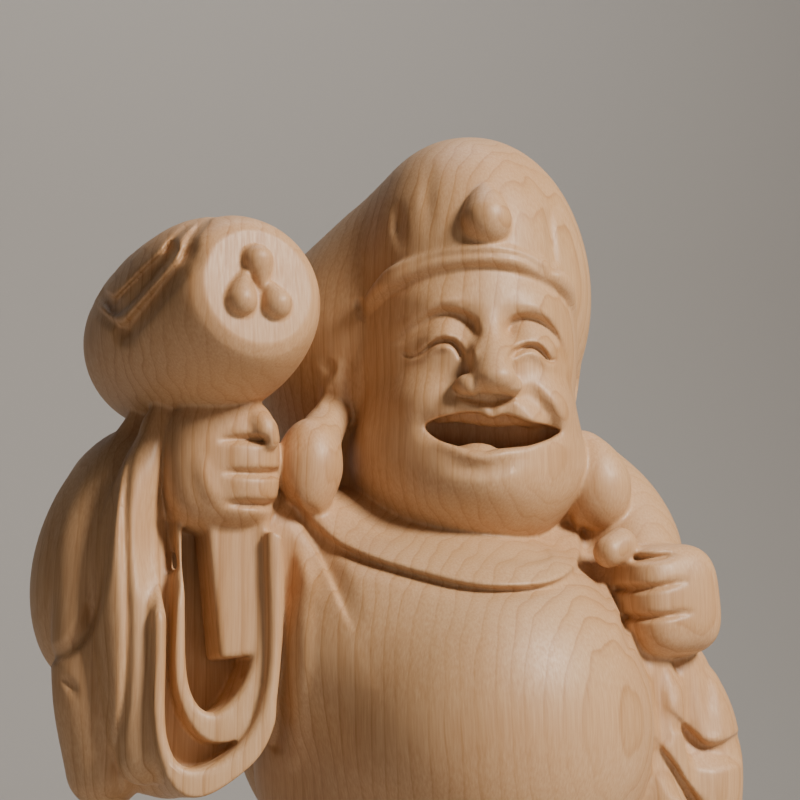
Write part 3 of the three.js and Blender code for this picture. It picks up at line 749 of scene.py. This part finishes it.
add([
    taut([ball(centre, (radius, radius, radius), frame=HEAD) for centre, radius in CAP_BAG]),
    *(ball(*form, frame=HEAD) for form in CAP_SIDES),
], hollow=0.5, joined=3)
cap_front = ball(*CAP_FRONT, frame=Matrix.Identity(4))
bmesh.ops.bisect_plane(cap_front, geom=[*cap_front.verts, *cap_front.edges, *cap_front.faces],
                       plane_co=BRIM_PLACE, plane_no=(0, -sin(BRIM_TILT), -cos(BRIM_TILT)),
                       clear_outer=True)
bmesh.ops.holes_fill(cap_front, edges=[edge for edge in cap_front.edges if edge.is_boundary])
add([placed(cap_front, frame=HEAD)], hollow=0.6)
add([limb(BRIM, (0.8, 1, 1.15, 1.2, 1.15, 1, 0.8), frame=HEAD)], hollow=0.4)
stroke(BRIM_TOP, (0.1, 0.4, 0.45, 0.45, 0.4, 0.1), 7, 4, keen=2)
stroke(CREASE, (0, 0.5, 0.6, 0.4), 8, 10, window=1.8)
for line, deep, wide in PANEL_FLUTES:
    stroke(line, deep, wide)
stroke(TEMPLE_NICK, (0.5, 0.3), 7)
add([limb([seen(*place) for place in CAP_JEWEL], (0.9, 2, 2.5), steps=24)], hollow=0.2)

# The collar and the coat's front edges, left standing a little above the robe.
# The cloth beside each edge is sunk in a soft bed that dies out over the belly.
COLLAR = [(302, 508), (311, 522), (336, 541), (362, 554), (388, 563), (423, 573), (459, 582), (490, 586),
          (515, 586), (541, 584), (561, 578), (572, 569), (579, 557), (580, 546)]
LAPEL = [(300, 524), (319, 559), (336, 595), (354, 636)]
LAPEL_ROLL = [(292, 530), (306, 572), (318, 610)]
SLEEVE_ROOT = [(286, 545), (286, 620), (282, 690), (276, 745)]
COAT_EDGE = [(302, 560), (304, 620), (300, 690), (294, 760)]
LEFT_LAPEL_ROLL = [(590, 552), (604, 578), (614, 612), (622, 650)]
LEFT_LAPEL = [(597, 560), (611, 584), (622, 614), (630, 648)]
stroke(COLLAR, -0.6, 48, 4, window=4)
stroke(COLLAR[::-1], (0.4, 0.6, 0.6, 0.6, 0.4), 22, wall=0.3)
stroke(LAPEL, (0.6, 0.8, 0.6, 0), 26, wall=0.3)
stroke(LAPEL_ROLL, (0, -0.4, 0), 16)
stroke(SLEEVE_ROOT, (0.5, 0.6, 0.6, 0.4), 12, 8, window=4)
stroke(COAT_EDGE, (-0.2, -0.3, -0.3, -0.2), 14, window=4)
stroke(LEFT_LAPEL_ROLL, (-0.1, -0.5, -0.4, 0), 12, 9, window=3)
stroke(LEFT_LAPEL, (0.2, 0.5, 0.6, 0.4), 6, 8, window=3, keen=2)

# The right sleeve's folds, each lapping over the next.
# They fall from the wrist past the sleeve's mouth.
SLEEVE_FOLDS = [[(136, 432), (120, 462), (112, 500), (107, 540), (102, 580), (90, 625), (70, 652),
                 (52, 659)],
                [(142, 430), (130, 458), (125, 502), (125, 553), (128, 630), (124, 706), (117, 745),
                 (118, 790)],
                [(178, 412), (168, 446), (165, 490), (166, 530), (172, 566)]]
RIM_EDGE = [(155, 575), (153, 655), (151, 700), (154, 740), (163, 772)]
SLEEVE_PINCH = [(66, 680), (72, 686), (76, 694)]
stroke(SLEEVE_FOLDS[0], (0.3, 0.7, 0.8, 0.8, 0.8, 0.8, 0.7, 0.4), 7, 17, window=3)
stroke(SLEEVE_FOLDS[1], (0.2, 0.4, 0.6, 0.6, 0.6, 0.6, 0.5, 0.4), 9, 10, window=3, keen=2)
stroke(SLEEVE_FOLDS[2], (0.4, 0.8, 0.9, 0.8, 0.4), 9, 11, window=3)
stroke(RIM_EDGE, (0.1, 0.35, 0.4, 0.4, 0.2), 5, 7, keen=2)
stroke(SLEEVE_PINCH, (0.3, 0.5, 0.2), 6, 8)

# The left sleeve's hem, folded back on itself twice.
# Between the folds and the fist the cloth is drawn up in three soft gathers.
HEM_FOLDS = [[(750, 724), (738, 732), (722, 740), (708, 741), (696, 732), (684, 722)],
             [(706, 806), (688, 782), (674, 760), (658, 742)]]
HEM_GATHERS = [([(662, 668), (660, 700), (664, 738)], (0.3, 0.5, 0.3)),
               ([(684, 664), (682, 690), (680, 716)], (-0.3, -0.4, -0.2)),
               ([(706, 668), (708, 700), (712, 730)], (0.2, 0.35, 0.2))]
stroke(HEM_FOLDS[0], (1.4, 1.8, 2, 2, 1.7, 0.5), 30, keen=1, wall=0.3)
stroke(HEM_FOLDS[1], (1.6, 1.7, 1.4, 0.3), 24, keen=1, wall=0.3)
for line, deep in HEM_GATHERS:
    stroke(line, deep, 12, window=4)

# The two fists. The right one is closed on the mallet's handle, the left one on the sack's neck.
# Each is a rounded block with a thumb's end, and the fingers are parted by cuts.
RIGHT_FIST = ((-25.4, -4.2, 65), (5.5, 5.3, 6.5), (0, 0, -14))
RIGHT_THUMB = [((255, 419), -8.3), ((263, 429), -9.1), ((267, 439), -9.2)]
RIGHT_PARTINGS = [[(216, 440), (245, 439), (264, 441)], [(219, 472), (250, 473), (275, 473)],
                  [(221, 503), (250, 504), (275, 505)]]
RIGHT_KNUCKLES = [(201, 452), (203, 472), (212, 494), (224, 506)]
LEFT_FIST = ((17.9, -8.4, 53.2), (5.1, 5.2, 5.5), (0, -6, 10))
LEFT_THUMB = [((620, 545), -9.8), ((609, 552), -10.6)]
LEFT_PARTINGS = [[(636, 559), (656, 558), (676, 555)], [(619, 589), (650, 588), (685, 581)],
                 [(627, 617), (655, 617), (691, 612)]]


def thumb(places, radii, steps=0):
    """A thumb's end through pixels, each at a depth along Y."""
    points = []
    for pixel, depth in places:
        x, z = on_plane(*pixel, depth)
        points.append((x, depth, z))
    return limb(points, radii, steps=steps)


add([ball(*RIGHT_FIST, power=3)], hollow=0.5)
add([thumb(RIGHT_THUMB, (1.2, 1.35, 1.2))], hollow=0.25)
for line in RIGHT_PARTINGS:
    stroke(line, (0, 0.8, 1.1, 1.2, 1.2), 8, window=3, keen=2)
stroke(RIGHT_KNUCKLES, (0, -0.3, -0.3, 0), 14, window=3)
add([ball(*LEFT_FIST, power=3.3)], hollow=0.5)
add([thumb(LEFT_THUMB, (1.7, 1.55), steps=12)], hollow=0.7)
for line in LEFT_PARTINGS:
    stroke(line, (1.1, 1.1, 1.1, 0.9, 0.2), 7, window=3, keen=2)

# What the camera doesn't see is worked more plainly: gathers of the sack below its neck, soft
# pleats of the cap, long folds of the sleeves, and the robe's lap and folds before the legs.
# Each line is in the pixels of a view of the whole figure, with its depth and its width.
OTHER_CENTRE = Vector((-0.01, 0, 0.112))
OTHER_DISTANCE = 0.75
BACK_VIEW, FAR_VIEW, FRONT_VIEW = (150, 10), (210, 10), (0, 0)
BACK_LINES = [
    ([(334, 352), (338, 400), (348, 455), (366, 505)], 0.8, 9),
    ([(346, 345), (368, 395), (390, 450), (402, 510)], 0.8, 9),
    ([(362, 335), (404, 372), (440, 425), (466, 490)], 0.8, 10),
    ([(378, 324), (430, 342), (478, 380), (506, 430)], 0.7, 10),
    ([(384, 112), (362, 150), (350, 195), (356, 240)], 0.5, 10),
    ([(420, 112), (414, 155), (414, 205), (424, 258)], 0.5, 10),
    ([(452, 124), (464, 160), (468, 205), (456, 252)], 0.5, 10),
    ([(266, 350), (244, 400), (236, 460), (250, 535)], 0.8, 9),
    ([(292, 400), (282, 440), (280, 490), (288, 545)], 0.6, 8),
    ([(548, 275), (572, 320), (576, 370), (566, 420)], 0.8, 9),
    ([(584, 300), (594, 340), (590, 380), (578, 410)], 0.6, 7),
]
FAR_LINES = [
    ([(296, 326), (352, 350), (396, 392), (420, 446)], 0.6, 10),
    ([(290, 345), (336, 384), (366, 430), (376, 490)], 0.5, 9),
    ([(352, 98), (368, 150), (372, 210), (358, 272)], 0.5, 10),
    ([(378, 100), (404, 145), (414, 200), (402, 262)], 0.5, 10),
    ([(478, 322), (486, 370), (494, 424), (512, 470)], 0.6, 9),
    ([(566, 300), (578, 345), (576, 396)], 0.5, 8),
    ([(424, 336), (440, 380), (444, 440), (438, 500)], 0.6, 9),
    ([(452, 316), (462, 366), (464, 424), (460, 480)], 0.5, 8),
]
FRONT_LINES = [
    ([(352, 556), (346, 610), (338, 664)], 0.7, 8),
    ([(378, 566), (372, 615), (366, 672)], 0.8, 8),
    ([(402, 572), (399, 620), (396, 676)], 0.7, 7),
    ([(466, 572), (472, 620), (478, 676)], 0.7, 8),
    ([(494, 562), (504, 612), (512, 670)], 0.8, 8),
]
ROBE_LAP = [(444, 676), (438, 620), (424, 560)]


def view_from(azimuth, elevation):
    """The eye and the turn of a view of the whole figure, in degrees round it and up."""
    round_it, up = radians(azimuth), radians(elevation)
    towards = Vector((sin(round_it) * cos(up), -cos(round_it) * cos(up), sin(up)))
    return {"eye": OTHER_CENTRE + towards * OTHER_DISTANCE, "turn": towards.to_track_quat("Z", "Y")}


for view, lines in ((BACK_VIEW, BACK_LINES), (FAR_VIEW, FAR_LINES)):
    for line, deep, wide in lines:
        stroke(line, (0, deep, deep, 0), wide, **view_from(*view))
for line, deep, wide in FRONT_LINES:
    stroke(line, (0.1, deep, deep), wide, **view_from(*FRONT_VIEW))
stroke(ROBE_LAP, (0.8, 0.7, 0.2), 12, wall=0.3, **view_from(*FRONT_VIEW))

# The surface of the wood as one piece. The grid is eased by one step along each axis, as rubbing
# with oil softens the tool's edges, and is then meshed and thinned. Edges that the thinning has
# folded over are smoothed out again.
TRIANGLES = 196000
FOLDED = radians(100)
SMOOTHINGS = 4
for axis in range(3):
    before, inner, after = (
        tuple(slice(*ends) if i == axis else slice(None) for i in range(3))
        for ends in ((0, -2), (1, -1), (2, None))
    )
    eased = wood[before] + wood[after]
    eased += 2 * wood[inner]
    wood[inner] = eased / 4
surface = openvdb.FloatGrid(OUTSIDE)
surface.copyFromArray(wood, ijk=tuple(int(i) for i in LOWEST))
surface.transform = grid_step
points, quads = surface.convertToQuads(isovalue=0.0)
mesh = bpy.data.meshes.new("carving")
mesh.from_pydata([], [], [])
mesh.vertices.add(len(points))
mesh.vertices.foreach_set("co", points.ravel())
mesh.loops.add(4 * len(quads))
mesh.loops.foreach_set("vertex_index", quads.ravel().astype(np.int32))
mesh.polygons.add(len(quads))
mesh.polygons.foreach_set("loop_start", np.arange(0, 4 * len(quads), 4, dtype=np.int32))
mesh.update(calc_edges=True)
mesh.validate()
carving = bpy.data.objects.new("carving", mesh)
bpy.context.scene.collection.objects.link(carving)
thinner = carving.modifiers.new("thinner", "DECIMATE")
thinner.ratio = TRIANGLES / (2 * len(quads))
carving.data = bpy.data.meshes.new_from_object(carving.evaluated_get(bpy.context.evaluated_depsgraph_get()))
carving.modifiers.clear()
settled = bmesh.new()
settled.from_mesh(carving.data)
for _ in range(SMOOTHINGS):
    folded = {vertex for edge in settled.edges if edge.calc_face_angle(0) > FOLDED for vertex in edge.verts}
    bmesh.ops.smooth_vert(settled, verts=list(folded), factor=0.5, use_axis_x=True, use_axis_y=True,
                          use_axis_z=True)
settled.to_mesh(carving.data)
settled.free()
carving.data.polygons.foreach_set("use_smooth", [True] * len(carving.data.polygons))

# The wood's look: a pale softwood, planed smooth by the knife and rubbed with oil.
# Its rings lie round a pith beyond the block, behind the figure's left side, so that the belly
# shows them as nested ovals and the rest as fine upright lines.
PITH_X, PITH_Y = 0.052, -0.090
RING_SPACING = 0.0029
RING_UNEVENNESS = 0.015
RING_SWAY = 0.004
WAVE_PERIOD = 2 * pi / 20
FIBRE_STRETCH = 0.035
TOOL_RELIEF = 0.0004
FIBRE_RELIEF = 0.00006
WOOD_IOR = 1.5


def colour(code):
    """A colour written as sRGB hex, in linear light."""
    channels = [int(code[i:i + 2], 16) / 255 for i in (1, 3, 5)]
    return tuple(c / 12.92 if c <= 0.04045 else ((c + 0.055) / 1.055) ** 2.4 for c in channels) + (1,)


def scale_of(features, millimetres):
    """The scale of a noise that has so many features in so many millimetres."""
    return 1000 * features / millimetres


def node(tree, kind, settings=None, stops=(), **inputs):
    """Adds a node with its settings, a ramp's stops, and what goes into its sockets: a value or
    another node's output. A socket is named, with _ for a space, or numbered after an i."""
    made = tree.nodes.new("ShaderNode" + kind)
    for name, value in (settings or {}).items():
        setattr(made, name, value)
    for i, (place, value) in enumerate(stops):
        elements = made.color_ramp.elements
        element = elements[i] if i < len(elements) else elements.new(1)
        element.position, element.color = place, value
    for name, value in inputs.items():
        numbered = name[0] == "i" and name[1:].isdigit()
        socket = made.inputs[int(name[1:]) if numbered else name.replace("_", " ")]
        if isinstance(value, bpy.types.NodeSocket):
            tree.links.new(value, socket)
        else:
            socket.default_value = value
    return made


EARLY, MIDDLE, LATE = colour("#C5A27C"), colour("#BF9A71"), colour("#B0885E")
BLUSH = colour("#F2DFD0")
RING_TONES = [(0, EARLY), (0.4, EARLY), (0.8, MIDDLE), (0.94, LATE), (1, EARLY)]
FIBRE_TONES = [(0.3, colour("#E6D8C8")), (0.7, colour("#FFFFFF"))]

oiled = bpy.data.materials.new("oiled_carved_softwood")
oiled.use_nodes = True
tree = oiled.node_tree
tree.nodes.clear()
here = node(tree, "TexCoord").outputs["Object"]
warp = node(tree, "TexNoise", Vector=here, Scale=scale_of(4, 250), Detail=2, Roughness=0.5).outputs["Color"]
warp = node(tree, "VectorMath", {"operation": "SUBTRACT"}, i0=warp, i1=(0.5, 0.5, 0.5)).outputs["Vector"]
warp = node(tree, "VectorMath", {"operation": "MULTIPLY"}, i0=warp,
            i1=(RING_SWAY, RING_SWAY, 0)).outputs["Vector"]
bent = node(tree, "VectorMath", {"operation": "ADD"}, i0=here, i1=warp).outputs["Vector"]
about_pith = node(tree, "Mapping", Vector=bent, Location=(-PITH_X, -PITH_Y, 0)).outputs["Vector"]
flat_place = node(tree, "Mapping", Vector=about_pith, Scale=(1, 1, 0)).outputs["Vector"]
years = node(tree, "TexNoise", Vector=flat_place, Scale=scale_of(7, 50), Detail=1).outputs["Fac"]
spread = node(tree, "MapRange", Value=years, i1=0.2, i2=0.8, i3=1 - RING_UNEVENNESS,
              i4=1 + RING_UNEVENNESS).outputs["Result"]
uneven = node(tree, "VectorMath", {"operation": "SCALE"}, i0=about_pith, Scale=spread).outputs["Vector"]
rings = node(tree, "TexWave", {"wave_type": "RINGS", "rings_direction": "Z", "wave_profile": "SAW"},
             Vector=uneven, Scale=WAVE_PERIOD / RING_SPACING).outputs["Fac"]
lines = node(tree, "ValToRGB", stops=RING_TONES, Fac=rings).outputs["Color"]
fading = node(tree, "TexNoise", Vector=here, Scale=scale_of(7, 250), Detail=1).outputs["Fac"]
shown = node(tree, "MapRange", Value=fading, i1=0.35, i2=0.65, i3=0.3, i4=1).outputs["Result"]
grain = node(tree, "Mix", {"data_type": "RGBA"}, i0=shown, i6=EARLY, i7=lines).outputs[2]
patches = node(tree, "TexNoise", Vector=here, Scale=scale_of(11, 500), Detail=2).outputs["Fac"]
blush = node(tree, "MapRange", Value=patches, i1=0.35, i2=0.7, i3=0, i4=0.5).outputs["Result"]
toned = node(tree, "Mix", {"data_type": "RGBA", "blend_type": "MULTIPLY"}, i0=blush, i6=grain,
             i7=BLUSH).outputs[2]
fibre_place = node(tree, "Mapping", Vector=bent, Scale=(1, 1, FIBRE_STRETCH)).outputs["Vector"]
fibres = node(tree, "TexNoise", Vector=fibre_place, Scale=scale_of(13, 5), Detail=3,
              Roughness=0.6).outputs["Fac"]
streak = node(tree, "ValToRGB", stops=FIBRE_TONES, Fac=fibres).outputs["Color"]
wood_colour = node(tree, "Mix", {"data_type": "RGBA", "blend_type": "MULTIPLY"}, i0=0.8, i6=toned,
                   i7=streak).outputs[2]
sheen = node(tree, "MapRange", Value=fibres, i1=0.3, i2=0.7, i3=0.56, i4=0.44).outputs["Result"]
hand = node(tree, "TexNoise", Vector=here, Scale=scale_of(13, 100), Detail=1).outputs["Fac"]
relief = node(tree, "Bump", Strength=0.35, Distance=TOOL_RELIEF, Height=hand).outputs["Normal"]
relief = node(tree, "Bump", Strength=0.25, Distance=FIBRE_RELIEF, Height=fibres,
              Normal=relief).outputs["Normal"]
wood_shader = node(tree, "BsdfPrincipled", Base_Color=wood_colour, Roughness=sheen, Normal=relief,
                   IOR=WOOD_IOR)
node(tree, "OutputMaterial", Surface=wood_shader.outputs["BSDF"])
carving.data.materials.append(oiled)

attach(carving, "root")
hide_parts("daikoku_figure")

# The studio: a pale sweep of paper that bends up behind the figure, a soft key light from the
# upper right, and a weak fill. The lamps' powers are in watts.
SWEEP_WIDTH = 4
SWEEP_FRONT = -1.6
SWEEP_BEND_FROM = 0.9
SWEEP_BEND = 0.6
SWEEP_TOP = 2.4
BEND_STEPS = 12
PAPER_ROUGHNESS = 0.9
WORLD_STRENGTH = 0.035
LAMPS = [
    ("key", (0.46, -0.74, 0.74), (0, 0, 0.14), 0.26, 20, "#FFF6EA"),
    ("fill", (-0.9, -0.6, 0.35), (0, 0, 0.12), 0.9, 0.3, "#E8EEFF"),
    ("backdrop", (0.2, 0.5, 1.6), (0, 1.4, 0.4), 1.0, 12, "#FFFFFF"),
]
sweep = bmesh.new()
profile = [(SWEEP_FRONT, 0), (SWEEP_BEND_FROM, 0)]
for i in range(1, BEND_STEPS + 1):
    angle = pi / 2 * i / BEND_STEPS
    profile.append((SWEEP_BEND_FROM + SWEEP_BEND * sin(angle), SWEEP_BEND - SWEEP_BEND * cos(angle)))
profile.append((SWEEP_BEND_FROM + SWEEP_BEND, SWEEP_TOP))
line = [sweep.verts.new((-SWEEP_WIDTH / 2, y, z)) for y, z in profile]
edges = [sweep.edges.new(pair) for pair in zip(line, line[1:])]
grown = bmesh.ops.extrude_edge_only(sweep, edges=edges)
bmesh.ops.translate(sweep, vec=(SWEEP_WIDTH, 0, 0), verts=moved(grown))
bmesh.ops.recalc_face_normals(sweep, faces=sweep.faces[:])
paper_mesh = bpy.data.meshes.new("paper_sweep")
sweep.to_mesh(paper_mesh)
sweep.free()
paper_mesh.polygons.foreach_set("use_smooth", [True] * len(paper_mesh.polygons))
paper = bpy.data.objects.new("paper_sweep", paper_mesh)
bpy.context.scene.collection.objects.link(paper)
matt = bpy.data.materials.new("matt_grey_paper")
matt.use_nodes = True
matt.node_tree.nodes["Principled BSDF"].inputs["Base Color"].default_value = colour("#B9B4AE")
matt.node_tree.nodes["Principled BSDF"].inputs["Roughness"].default_value = PAPER_ROUGHNESS
paper_mesh.materials.append(matt)

for name, place, aim, size, power, tint in LAMPS:
    light = bpy.data.objects.new(name, bpy.data.lights.new(name, "AREA"))
    light.data.size = size
    light.data.energy = power
    light.data.color = colour(tint)[:3]
    light.location = place
    light.rotation_euler = (Vector(place) - Vector(aim)).to_track_quat("Z", "Y").to_euler()
    bpy.context.scene.collection.objects.link(light)
world = bpy.data.worlds.new("studio")
world.use_nodes = True
world.node_tree.nodes["Background"].inputs["Color"].default_value = colour("#D8D8DC")
world.node_tree.nodes["Background"].inputs["Strength"].default_value = WORLD_STRENGTH
bpy.context.scene.world = world
